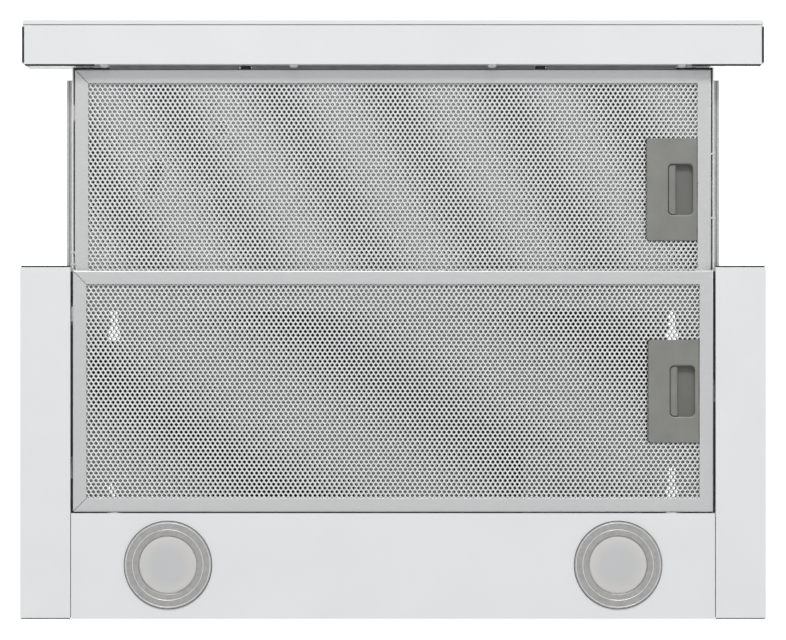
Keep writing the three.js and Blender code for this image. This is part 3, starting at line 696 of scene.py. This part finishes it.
def expanded_sheet(name, x, y, z, latch, layer, dents):
    """Expanded metal between two x and two y values: diamond holes, with strands that all lean one way.
    It stops at the latch, which is given as its first x and its two y values. squeeze narrows the cells,
    lean slants their columns and slip moves them all along x."""
    height, squeeze, lean, slip, strand = layer
    outer, inner = tile(strand)
    centre = ((x[0] + x[1]) / 2, (y[0] + y[1]) / 2)
    wide = (x[1] - x[0]) / 2 * (1 + abs(squeeze)) + abs(lean) * (y[1] - y[0])
    deep = (y[1] - y[0]) / 2
    latch_x, latch_low, latch_high = latch
    points, index, faces, cells, edges = [], {}, [], {}, {}

    def placed(px, py):
        return centre[0] + slip + (px - lean * py) / (1 + squeeze), centre[1] + py

    def allowed(cx, cy):
        px, py = placed(cx, cy)
        if not (x[0] + MARGIN < px < x[1] - MARGIN and y[0] + MARGIN < py < y[1] - MARGIN):
            return False
        return px < latch_x - MARGIN or not (latch_low - MARGIN < py < latch_high + MARGIN)

    def trimmed(px, py):
        """The nearest place inside the sheet's outline, where its cut edge lies."""
        px, py = min(max(px, x[0]), x[1]), min(max(py, y[0]), y[1])
        left = (px - latch_x, (latch_x, py))
        below = (py - latch_low, (px, latch_low))
        above = (latch_high - py, (px, latch_high))
        distance, edge = min((left, below, above), key=lambda way: way[0])
        return edge if distance > 0 else (px, py)

    def vertex(key, px, py, pz):
        if key not in index:
            index[key] = len(points)
            wx, wy = placed(px, py)
            for dx, dy, radius, push in dents:
                d = math.hypot(wx - dx, wy - dy) / radius
                wy += push * math.exp(-d * d)
            points.append((*trimmed(wx, wy), pz))
        return index[key]

    rows, columns = int(deep / PITCH.y) + 2, int(wide / PITCH.x) + 2
    for j in range(-rows, rows + 1):
        for i in range(-columns, columns + 1):
            at = (i * PITCH.x + (j % 2) * PITCH.x / 2, j * PITCH.y)
            if allowed(*at):
                cells[(2 * i + j % 2, j)] = at

    for (ci, cj), (cx, cy) in cells.items():
        ring = []
        for k, (across, up) in enumerate(CORNER_STEPS):
            key = (ci + across, 3 * cj + up)
            px, py = cx + outer[k][0], cy + outer[k][1]
            base = z + height + LIFT[k] * TWIST
            front = vertex((key, 0), px, py, base - CREST / 2)
            back = vertex((key, 1), px, py, base + CREST / 2)
            rim = Vector(inner[k])
            slope = TILT.dot(rim.normalized())
            edge = vertex((ci, cj, k), cx + rim.x, cy + rim.y, z + height + LIFT[k] * HOLE_TWIST + slope)
            ring.append((front, back, edge))
        for a, b in zip(ring, ring[1:] + ring[:1]):
            faces.append((a[0], a[2], b[2], b[0]))
            faces.append((a[1], b[1], b[2], a[2]))
            edges[(a[0], b[0])] = (a, b)
    for (p, q), (a, b) in edges.items():
        if (q, p) not in edges:
            faces.append((a[0], b[0], b[1], a[1]))
    mesh = bpy.data.meshes.new(name)
    mesh.from_pydata(points, [], faces)
    mesh.update()
    obj = bpy.data.objects.new(name, mesh)
    bpy.context.scene.collection.objects.link(obj)
    return obj


def expanded_filter(label, body, inner_layer, dents=()):
    """Two sheets, one over the other: together they give the slow bands of light and dark. The inner sheet is
    painted darker than the outer one, as painted shade.
    """
    lo, hi = box(f"{label}_filter_mesh")
    plate_lo, plate_hi = box(f"{label}_latch_plate")
    clear = 0.1 * MM
    latch = (plate_lo.x - clear, plate_lo.y - clear, plate_hi.y + clear)
    x, y = (lo.x, hi.x), (lo.y, hi.y)
    outer = expanded_sheet(f"{label}_expanded_outer", x, y, lo.z, latch, OUTER_LAYER, ())
    inner = expanded_sheet(f"{label}_expanded_inner", x, y, lo.z, latch, inner_layer, dents)
    paint(outer, "expanded_mesh")
    paint(inner, f"{label}_inner_mesh")
    for sheet in (outer, inner):
        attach(sheet, body)
    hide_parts(f"{label}_filter_mesh")


# Places where the inner layer has been pushed along the sheet: x, y, radius and distance.
DENTS = (
    (-0.1506, -0.2035, 0.009, 0.8 * MM),
    (-0.1405, -0.2545, 0.008, 3.0 * MM),
    (-0.1965, -0.2015, 0.012, -3.0 * MM),
    (-0.1915, -0.2215, 0.010, -3.0 * MM),
)
# Each layer: its height, squeeze, lean, slip and strand width.
OUTER_LAYER = (0.5 * MM, 0, 0, 0, STRAND)
FRONT_INNER = (2.3 * MM, 0.0424, -0.026, 1.77 * MM, 0.8 * MM)
REAR_INNER = (2.3 * MM, 0.0161, -0.0262, 0.2 * MM, 0.74 * MM)
expanded_filter("front", "drawer", FRONT_INNER, DENTS)
expanded_filter("rear", "rear_filter", REAR_INNER)


# ---- filter frames: a channel folded round three sides, and a fourth bar let in with mitred ends ----

BAR_WIDTH = 11 * MM
SLOT_HALF = 5.9 * MM
BOLT_LOW = 6.2 * MM
FRAME_SKIN = 0.8 * MM
MITRE_GAP = 0.3 * MM
FILTER_TABS = (-62 * MM, 62 * MM)


def channel_section(width, height, skin, bend):
    """Points (inwards, up) of a channel that opens inwards, with rounded bends and eased edges."""
    ease = skin * 0.3

    def arc(cx, cy, radius, start, stop, steps=4):
        angles = [math.radians(start + (stop - start) * i / steps) for i in range(steps + 1)]
        return [(cx + radius * math.cos(a), cy + radius * math.sin(a)) for a in angles]

    inner = max(bend - skin, 0.15 * MM)
    return (
        arc(bend, bend, bend, 270, 180)
        + arc(bend, height - bend, bend, 180, 90)
        + [(width - ease, height), (width, height - ease)]
        + [(width, height - skin + ease), (width - ease, height - skin)]
        + arc(skin + inner, height - skin - inner, inner, 90, 180)
        + arc(skin + inner, skin + inner, inner, 180, 270)
        + [(width - ease, skin), (width, skin - ease), (width, ease), (width - ease, 0)]
    )


def filter_frame(label, body):
    node = f"{label}_filter_frame"
    lo, hi = box(node)
    x = (-hi.x, hi.x)
    y = (lo.y, hi.y)
    section = channel_section(BAR_WIDTH, hi.z - lo.z, FRAME_SKIN, 1.2 * MM)
    bm = bmesh.new()
    g = MITRE_GAP
    loft(
        bm,
        [
            [(x[0] + u + g, y[0] + u, lo.z + v) for u, v in section],
            [(x[1] - u, y[0] + u, lo.z + v) for u, v in section],
            [(x[1] - u, y[1] - u, lo.z + v) for u, v in section],
            [(x[0] + u + g, y[1] - u, lo.z + v) for u, v in section],
        ],
    )
    loft(
        bm,
        [
            [(x[0] + u, y[0] + u + g, lo.z + v) for u, v in section],
            [(x[0] + u, y[1] - u - g, lo.z + v) for u, v in section],
        ],
    )
    across = (y[0] + y[1]) / 2
    half, low, high = 6 * MM, lo.z + 3 * MM, lo.z + 5 * MM
    for offset in FILTER_TABS:
        at = across + offset
        block(bm, (lo.x, at - half, low), (x[0] + 0.4 * MM, at + half, high), 0.35 * MM)
    obj = made(f"{label}_frame_folded", bm, "filter_aluminium", body, [node])
    slot_lo = (x[1] - 2 * MM, across - SLOT_HALF, lo.z + BOLT_LOW)
    cut_out(obj, (slot_lo, (x[1] + MM, across + SLOT_HALF, lo.z + 8 * MM)))


# ---- latches: a moulded plate with a finger recess, and the tab and bolt that slide in it ----

TAB_WIDTH = 6 * MM
TAB_CORNERS = (0.8 * MM, 3.2 * MM, 3.2 * MM, 0.8 * MM)
ROD_HALF = 5.5 * MM
PLAY = 0.4 * MM
RECESS_WIDTH = 20.3 * MM
RECESS_HALF = 20.6 * MM
RECESS_CORNER = 3.6 * MM
RECESS_DEPTH = 5.4 * MM
UNDER_TAB = 6.4 * MM
PLATE_DEPTH = 7.8 * MM
PLATE_CORNERS = (1 * MM, 2.8 * MM, 2.8 * MM, 1 * MM)
PLATE_SKIN = 1.2 * MM
PLATE_GAP = 1.9 * MM


def plate_loops(lo, hi, recess_x, recess_y, floor_z):
    """The plate's outline from its back round to its face and on into the recess, which is wider behind
    its lip, where the tab slides back."""
    face, back, lip = lo.z, lo.z + PLATE_DEPTH, floor_z + PLATE_SKIN
    under_tab = recess_x[0] - UNDER_TAB

    def outer(inset, z):
        radii = [max(corner - inset, 0.2 * MM) for corner in PLATE_CORNERS]
        return at_height(rounded((lo.x + inset, hi.x - inset), (lo.y + inset, hi.y - inset), radii), z)

    def recess(grow, z, left=None):
        x = (recess_x[0] - grow if left is None else left, recess_x[1] + grow)
        y = (recess_y[0] - grow, recess_y[1] + grow)
        return at_height(rounded(x, y, RECESS_CORNER + grow), z)

    return [
        outer(0.3 * MM, back),
        outer(0, back - 0.3 * MM),
        outer(0, face + 0.55 * MM),
        outer(0.2 * MM, face + 0.22 * MM),
        outer(0.6 * MM, face),
        recess(1.15 * MM, face),
        recess(0.95 * MM, face + 0.04 * MM),
        recess(0.15 * MM, face + 0.5 * MM),
        recess(0, face + 0.7 * MM),
        recess(0, lip),
        recess(0.01 * MM, lip + 0.05 * MM, under_tab),
        recess(0, floor_z + RECESS_DEPTH, under_tab),
    ]


def tab_loops(x, y, low):
    """The tab's outline from its top down to its face, which is dished."""
    steps = ((0.2, 3.4), (0, 3.2), (0, 0.8), (0.2, 0.3), (0.6, 0), (1.0, 0), (1.3, 0.3))
    loops = []
    for inset, up in ((inset * MM, up * MM) for inset, up in steps):
        radii = [corner - inset * 0.9 for corner in TAB_CORNERS]
        outline = rounded((x[0] + inset, x[1] - inset), (y[0] + inset, y[1] - inset), radii)
        loops.append(at_height(outline, low + up))
    return loops


def latch(label, body, slider_body):
    plate, slider = f"{label}_latch_plate", f"{label}_latch_slider"
    lo, hi = box(plate)
    bolt_lo, bolt_hi = box(slider)
    frame_lo = box(f"{label}_filter_frame")[0]
    floor_z = frame_lo.z
    inner_x = -frame_lo.x - BAR_WIDTH - PLATE_GAP
    y_mid = (lo.y + hi.y) / 2
    recess_x = (bolt_lo.x - PLAY, bolt_lo.x - PLAY + RECESS_WIDTH)
    recess_y = (y_mid - RECESS_HALF, y_mid + RECESS_HALF)

    bm = bmesh.new()
    loft(bm, plate_loops(lo, Vector((inner_x, hi.y, hi.z)), recess_x, recess_y, floor_z))
    obj = made(f"{label}_latch_face", bm, "latch_grey", body, [plate])
    first, last = recess_x[0] - UNDER_TAB, recess_x[0] + TAB_WIDTH + MM
    near, far = y_mid - ROD_HALF - PLAY, y_mid + ROD_HALF + PLAY
    cut_out(
        obj,
        ((first, near, floor_z + 5 * MM), (last, far, floor_z + 7 * MM)),
        ((first, near, floor_z + BOLT_LOW), (hi.x + MM, far, floor_z + 9 * MM)),
    )
    # The recess floor's faces get the darker paint, a painted shade.
    obj.data.materials.append(FINISH["recess_floor_shade"])
    for side in obj.data.polygons:
        if abs(side.center.z - floor_z - RECESS_DEPTH) < 0.2 * MM:
            side.material_index = 1

    bm = bmesh.new()
    start, reach, beside = inner_x + 0.1 * MM, 30 * MM, ROD_HALF + MM
    low, high = floor_z + PLATE_SKIN, floor_z + PLATE_DEPTH
    block(bm, (start, y_mid - reach, low), (hi.x, y_mid - beside, high), 0.4 * MM)
    block(bm, (start, y_mid + beside, low), (hi.x, y_mid + reach, high), 0.4 * MM)
    made(f"{label}_latch_tongues", bm, "latch_grey", body)

    bm = bmesh.new()
    tab_x = (bolt_lo.x, bolt_lo.x + TAB_WIDTH)
    loft(bm, tab_loops(tab_x, (recess_y[0] + PLAY, recess_y[1] - PLAY), bolt_lo.z))
    near, far, top = y_mid - ROD_HALF, y_mid + ROD_HALF, bolt_hi.z
    block(bm, (tab_x[0] + 0.1 * MM, near, bolt_lo.z + 3 * MM), (tab_x[1] - 0.1 * MM, far, top), 0.2 * MM)
    block(bm, (tab_x[1] - MM, near, top - 1.1 * MM), (bolt_hi.x, far, top), 0.25 * MM)
    made(f"{label}_latch_tab", bm, "latch_grey", slider_body, [slider])


filter_frame("front", "drawer")
filter_frame("rear", "rear_filter")
latch("front", "drawer", "front_latch")
latch("rear", "rear_filter", "rear_latch")


# ---- lamps ----


def profile_of(*points):
    return [(r * MM, h * MM) for r, h in points]


# Profiles as (radius, height above the panel's underside).
RING_FLANGE = profile_of((23.6, -1.0), (23.9, -1.2), (27.9, -1.2), (28.1, -1.0), (28.7, -1.0), (28.9, -1.35))
RING_RIM = profile_of((33.3, -1.35), (33.5, -1.1), (34.1, -1.1), (34.3, -1.35), (34.85, -1.3), (35, -1.1))
RING_SLEEVE = profile_of((35, -0.4), (30.5, -0.4), (30.5, 10), (28.5, 10), (28.5, 2), (21.2, 2))
RING_SEAT = profile_of((21.2, 1), (23.6, 1))
GASKET = profile_of((30.6, -0.38), (35.5, -0.38), (35.5, -0.05), (30.6, -0.05))
LENS_FACE = profile_of((0, -0.9), (10, -0.89), (18, -0.8), (21.6, -0.66), (22.8, -0.45), (23.2, -0.1))
LENS_BACK = profile_of((23.2, 0.6), (0, 0.6))
BEAD_RADII = (28.4, 33.8)


def bead_at(radius):
    """A fine raised line round the bezel, painted near white as a painted highlight."""
    steps = ((-0.3, -1.02), (-0.2, -1.38), (0, -1.5), (0.2, -1.38), (0.3, -1.02))
    return profile_of(*((radius + out, height) for out, height in steps))


def turned(name, profiles, centre, finish, replaces=(), sides=128):
    """A piece of the housing, turned about a vertical axis."""
    bm = bmesh.new()
    for profile in profiles:
        lathe(bm, profile, centre, sides)
    made(name, bm, finish, "housing", replaces)


def lamps():
    for name, _ in SIDES:
        centre = middle(f"lamp_bezel_{name}")
        centre.z = UNDERSIDE
        for part, finish in (("bezel", brushed_ring), ("diffuser", frosted_lens)):
            FINISH[f"{part}_{name}"] = finish(f"lamp_{part}_{name}", centre)
        ring = RING_FLANGE + RING_RIM + RING_SLEEVE + RING_SEAT
        lens = LENS_FACE + LENS_BACK
        turned(f"lamp_ring_{name}", [ring], centre, f"bezel_{name}", [f"lamp_bezel_{name}"])
        turned(f"lamp_beads_{name}", [bead_at(r) for r in BEAD_RADII], centre, "bezel_highlight")
        turned(f"lamp_gasket_{name}", [GASKET], centre, "rubber")
        turned(f"lamp_diffuser_{name}", [lens], centre, f"diffuser_{name}", [f"lamp_lens_{name}"])


lamps()


# ---- screws and clips ----


def pan_head(radius, height):
    """A pan head with a cross recess, its axis along +Z and its seat at 0."""
    bm = bmesh.new()
    shank = [(0, -1), (0.5, -1), (0.5, 0)]
    dome = [(1, 0), (1, 0.3), (0.93, 0.62), (0.74, 0.88), (0.4, 1), (0, 1)]
    lathe(bm, [(radius * r, height * h) for r, h in shank + dome], (0, 0, 0), 28)
    mesh = bpy.data.meshes.new("head")
    bmesh.ops.recalc_face_normals(bm, faces=bm.faces)
    bm.to_mesh(mesh)
    bm.free()
    obj = bpy.data.objects.new("head", mesh)
    bpy.context.scene.collection.objects.link(obj)
    long, short, deep = radius * 0.52, radius * 0.12, height * 0.55
    cut_out(obj, ((-long, -short, height - deep), (long, short, height + MM)))
    cut_out(obj, ((-short, -long, height - deep), (short, long, height + MM)))
    result = obj.data
    bpy.data.objects.remove(obj)
    return result


HEAD_TURNS = (20, 65, 110, 155)


def fasteners(name, body, finish, places, axis, radius, height):
    """Screw heads at places on a face whose outward direction is axis."""
    head = pan_head(radius, height)
    bm = bmesh.new()
    turn = Vector(axis).to_track_quat("Z", "X").to_matrix().to_4x4()
    for i, place in enumerate(places):
        spin = Matrix.Rotation(math.radians(HEAD_TURNS[i % len(HEAD_TURNS)]), 4, "Z")
        one = bmesh.new()
        one.from_mesh(head)
        one.transform(Matrix.Translation(Vector(place)) @ turn @ spin)
        kept = bpy.data.meshes.new("one")
        one.to_mesh(kept)
        one.free()
        bm.from_mesh(kept)
        bpy.data.meshes.remove(kept)
    made(name, bm, finish, body)


def strips(name, body, finish, boxes, bevel=0.2 * MM):
    """Thin strips as one piece: trim, seals and beads, and dark strips that are painted shade."""
    bm = bmesh.new()
    for lo, hi in boxes:
        block(bm, [min(a, b) for a, b in zip(lo, hi)], [max(a, b) for a, b in zip(lo, hi)], bevel)
    made(name, bm, finish, body)


def both_sides(lo, hi):
    """A box on the left and the same one on the right."""
    return [((side * lo[0], *lo[1:]), (side * hi[0], *hi[1:])) for side in (-1, 1)]


# ---- bar and slides ----

# Half the length of the grey strip of painted shade behind the bar.
SHADE_STRIP_HALF = 0.229
BAR_SCREWS = (0.080, 0.233)
REAR_SHADE_LINE = (0.2965, 0.241)


def bar_details():
    rear = box("front_bar")[1].y
    places = [(side * x, rear, UNDERSIDE + 7.8 * MM) for side in (-1, 1) for x in BAR_SCREWS]
    fasteners("bar_screws", "drawer", "bright_head", places, (0, 1, 0), 3.7 * MM, 2.7 * MM)
    # A grey strip between the bar and the front filter stands in for the shade on the bar's rear wall:
    # painted shade.
    filter_front = box("front_filter_frame")[0].y
    shade_strip = (rear + 0.15 * MM, filter_front - 0.3 * MM)
    low, high = UNDERSIDE + 14.5 * MM, UNDERSIDE + 18 * MM
    post = 5 * MM
    bumper = abs(middle("bumper_right").x)
    spans = [(-SHADE_STRIP_HALF, -bumper - post), (-bumper + post, bumper - post), (bumper + post, SHADE_STRIP_HALF)]
    strips("bar_shade_strip", "drawer", "shade_strip", [((a, shade_strip[0], low), (b, shade_strip[1], high)) for a, b in spans])
    corner = (SHADE_STRIP_HALF + 0.5 * MM, box("drawer_side_right")[1].x - 1.2 * MM)
    seals_at = both_sides((corner[0], shade_strip[1] - 1.4 * MM, low), (corner[1], shade_strip[1], high))
    strips("corner_seals", "drawer", "rubber", seals_at)
    lo, hi = box("bar_end_cap_right")
    cap_rear = (hi.x - 1.5 * MM, hi.y - 1.3 * MM, lo.z + MM)
    ends = both_sides((hi.x, lo.y + 1.4 * MM, lo.z - 0.25 * MM), cap_rear)
    strips("bar_end_seams", "drawer", "rubber", ends)
    # Thin black strips behind the bar's rear edge stand in for the shade under that edge: painted shade.
    inner_end = (REAR_SHADE_LINE[1], rear + MM, lo.z + 6 * MM)
    seams = both_sides((REAR_SHADE_LINE[0], rear + 0.05 * MM, lo.z + 0.3 * MM), inner_end)
    strips("bar_rear_shade_lines", "drawer", "rubber", seams, 0.1 * MM)


bar_details()


CLIPS = {"left": (-0.1537, -0.144), "right": (-0.2336, -0.1816)}


def slide_details():
    """Rolled beads under each slide's inner member, and the small clips beside it, both painted light as
    painted highlights.
    """
    wall = box("drawer_side_right")
    clip_x = (wall[1].x - 2.2 * MM, wall[1].x + 1.4 * MM)
    clip_half = 0.8 * MM
    low = wall[0].z - 0.2 * MM
    high = low + 2 * MM
    for name, side in SIDES:
        lo, hi = box(f"slide_inner_{name}")
        x = sorted((abs(lo.x), abs(hi.x)))
        beads = [(x[0] + 1.1 * MM, x[0] + 2.4 * MM), (x[1] - 1.7 * MM, x[1] - 0.5 * MM)]
        rows = [((side * a, lo.y, lo.z - 0.6 * MM), (side * b, hi.y, lo.z + 0.2 * MM)) for a, b in beads]
        strips(f"slide_beads_{name}", "drawer", "rail_highlight", rows, 0.25 * MM)
        a, b = side * clip_x[0], side * clip_x[1]
        clips = [((a, y - clip_half, low), (b, y + clip_half, high)) for y in CLIPS[name]]
        strips(f"slide_clips_{name}", "drawer", "rail_highlight", clips, 0.3 * MM)


slide_details()


# ---- key marks ----

KEY_BARS = {"key_off": 1, "key_low": 1, "key_medium": 2, "key_high": 3}
RAISED = 0.15 * MM
BAR_STEP = 1.8 * MM


def key_marks():
    """Plain marks on the keys: a ring for the light, a bar across for off, and bars for the three speeds."""
    for key in ("key_light", *KEY_BARS):
        centre = middle(key)
        front = box(key)[0].y
        bm = bmesh.new()
        if key == "key_light":
            profile = [(r * MM, h) for r, h in ((1.3, 0), (1.9, 0), (1.9, RAISED), (1.3, RAISED))]
            lathe(bm, profile, (centre.x, front, centre.z), 32, FORWARDS)
        else:
            wide, tall = (1.8 * MM, 0.35 * MM) if key == "key_off" else (0.35 * MM, 1.5 * MM)
            for i in range(KEY_BARS[key]):
                x = centre.x + (i - (KEY_BARS[key] - 1) / 2) * BAR_STEP
                lo = (x - wide, front - RAISED, centre.z - tall)
                block(bm, lo, (x + wide, front + 0.02 * MM, centre.z + tall), 0.05 * MM)
        made(f"{key}_mark", bm, "white_plastic", key)


key_marks()


# ---- rivets and screws in the body ----

RIVET = (2.4 * MM, 0.7 * MM)
RIVET_INSET = 3.7 * MM
BOX_INSET = 9 * MM
BLOWER_REACH = 82 * MM
SIDE_SCREWS = (-0.115, 0.0, 0.115)


def around(centre, radius, turns, z):
    return [(centre.x + radius * math.cos(a), centre.y + radius * math.sin(a), z) for a in turns]


def body_fasteners():
    """Low rivets and screws in the top plate, and three screws in each side."""
    shell = box("body_shell")[1]
    collar = box("outlet_collar")[1].x - RIVET_INSET
    quarters = [math.radians(45 + 90 * i) for i in range(4)]
    round_collar = around(middle("outlet_collar"), collar, quarters, shell.z)
    fasteners("collar_rivets", "housing", "turned_steel", round_collar, (0, 0, 1), *RIVET)
    posts = [math.pi * (0.65 + 0.35 * i) for i in range(4)]
    over_posts = around(middle("motor_shaft"), BLOWER_REACH, posts, shell.z)
    fasteners("blower_screws", "housing", "turned_steel", over_posts, (0, 0, 1), 4.2 * MM, 1.2 * MM)
    lo, hi = box("electronics_box")
    x, y = (lo.x + BOX_INSET, hi.x - BOX_INSET), (lo.y + BOX_INSET, hi.y - BOX_INSET)
    corners = [(a, b, shell.z) for a in x for b in y]
    fasteners("box_rivets", "housing", "turned_steel", corners, (0, 0, 1), *RIVET)
    for name, side in SIDES:
        places = [(side * (shell.x - SHELL_FLANGE), y, UNDERSIDE + 34 * MM) for y in SIDE_SCREWS]
        fasteners(f"side_screws_{name}", "housing", "turned_steel", places, (side, 0, 0), 3.6 * MM, 1.6 * MM)


def collar_beads():
    """Two rolled beads round the duct collar."""
    centre = middle("outlet_collar")
    centre.z = 0
    radius = 60
    bulge = [(0.02, -1.6), (0.4, -1.2), (0.8, -0.4), (0.8, 0.4), (0.4, 1.2), (0.02, 1.6)]
    beads = [profile_of(*((radius + r, height + h) for r, h in bulge)) for height in (9, 22)]
    turned("collar_beads", beads, centre, "zinc_plated_steel", sides=96)


body_fasteners()
collar_beads()


# ---- painted shade: dark strips at the wings' edges and beside the filters ----


def along_x(bm, section, x):
    """A closed section of (y, z) points, run between two x values."""
    loft(bm, [[(at, y, z) for y, z in section] for at in x])


def wing_edge_shade():
    """Black rubber strips along the front and the rear of each wing, standing in for the shade at the wings'
    edges: painted shade.
    """
    lo, hi = box("right_wing")
    x = (lo.x, hi.x - MM)
    # Sections in millimetres, as (y from the wing's front or rear edge, height above its underside).
    ahead = [(-1.2, 0.1), (-0.05, 0.1), (-0.05, 3), (-1.2, 3)]
    hugging = [(-0.8, -0.14), (-0.03, -0.14), (-0.03, 1.15), (-0.15, 0.75), (-0.45, 0.3), (-0.8, 0.08)]
    for name, side in SIDES:
        ends = (side * x[0], side * x[1])
        bm = bmesh.new()
        along_x(bm, [(lo.y + y * MM, UNDERSIDE + z * MM) for y, z in ahead], ends)
        along_x(bm, [(hi.y + y * MM, UNDERSIDE + z * MM) for y, z in hugging], ends)
        made(f"wing_edge_shade_{name}", bm, "rubber", "housing")


wing_edge_shade()


GAP_SHADE_BREAK = 9 * MM


def dark_strips():
    """Black rubber in the gap beside each filter, darkening the gap as painted shade, left out where the
    filter's tabs and bolt go through.
    """
    rear = ("rear", "housing", box("right_wing")[0].x)
    front = ("front", "drawer", box("drawer_side_right")[1].x - MM)
    for label, body, wall in (rear, front):
        lo, hi = box(f"{label}_filter_frame")
        y_mid = (lo.y + hi.y) / 2
        low, high = lo.z + 3 * MM, lo.z + 9 * MM
        for name, side in SIDES:
            stops = [lo.y + MM]
            for at in FILTER_TABS if name == "left" else (0,):
                stops += [y_mid + at - GAP_SHADE_BREAK, y_mid + at + GAP_SHADE_BREAK]
            stops.append(hi.y - MM)
            outer, inner = side * (wall - 0.1 * MM), side * (wall - 1.1 * MM)
            spans = zip(stops[::2], stops[1::2])
            rows = [((inner, a, low), (outer, b, high)) for a, b in spans]
            strips(f"{label}_gap_shade_{name}", body, "rubber", rows)


dark_strips()


# ---- the CAD nodes themselves ----

folded_sheets()
dress_cad_nodes()
